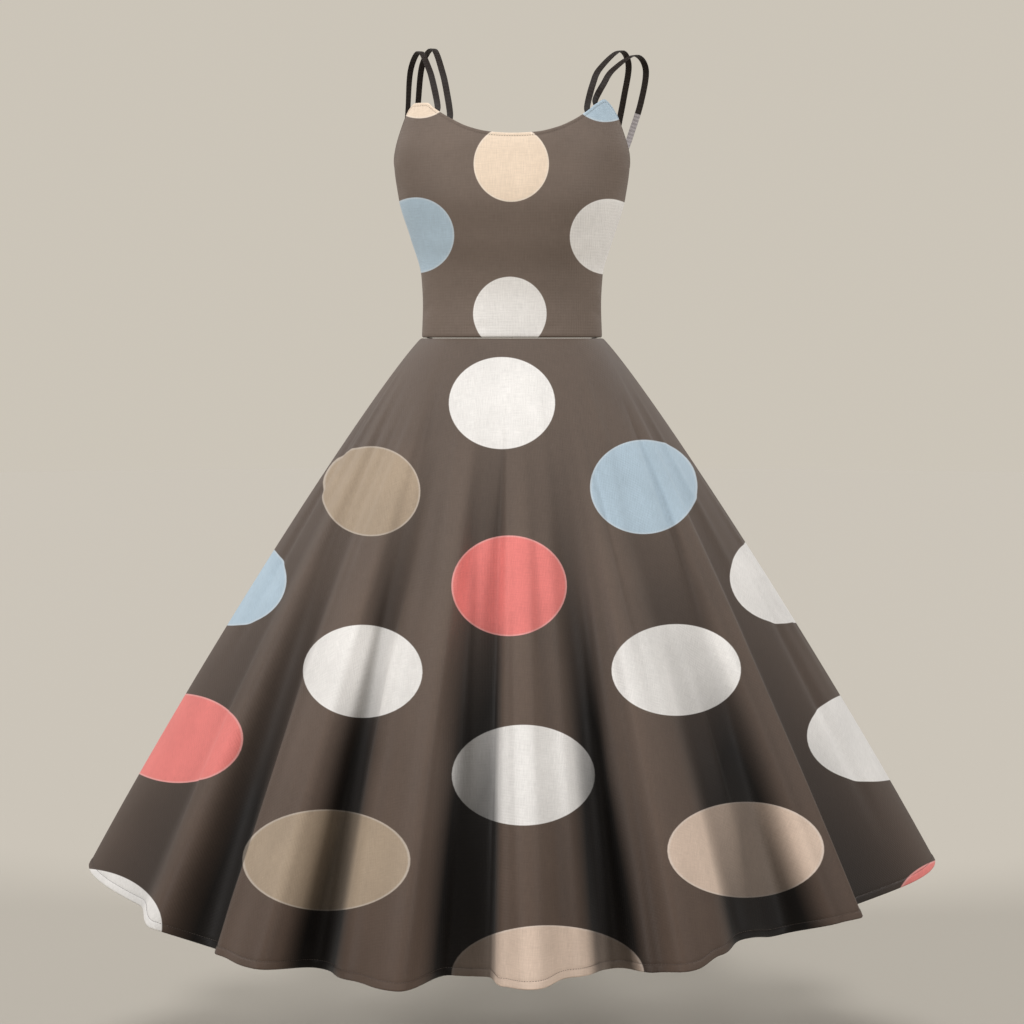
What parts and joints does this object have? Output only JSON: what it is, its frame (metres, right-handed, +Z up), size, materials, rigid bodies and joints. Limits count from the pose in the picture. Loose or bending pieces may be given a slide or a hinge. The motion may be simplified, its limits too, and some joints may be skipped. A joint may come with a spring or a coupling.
{
  "type": "a-line dress",
  "caption": "Sleeveless A-line midi dress with a scoop neck, ribbon shoulder straps and a full folded skirt, filled out as worn, in polka dot cloth.",
  "frame": {"origin": "midway between the wearer's shoulders, at the height where the straps rest on them", "axes": "+Z up; the front of the dress faces -Y; +X is on the right of someone who looks at the front"},
  "size_m": [1.196, 1.108, 1.1819],
  "materials": {
    "printed_cloth": "smooth woven polyester with a soft sheen, brown with a multi-colour polka dot print",
    "strap_ribbon": "dark brown ribbed ribbon"
  },
  "bodies": {
    "root": {"bodice_front": "printed_cloth", "bodice_back_left": "printed_cloth", "bodice_back_right": "printed_cloth", "skirt_front": "printed_cloth", "skirt_back_left": "printed_cloth", "skirt_back_right": "printed_cloth", "strap_left_outer": "strap_ribbon", "strap_left_inner": "strap_ribbon", "strap_right_inner": "strap_ribbon", "strap_right_outer": "strap_ribbon"}
  },
  "joints": []
}
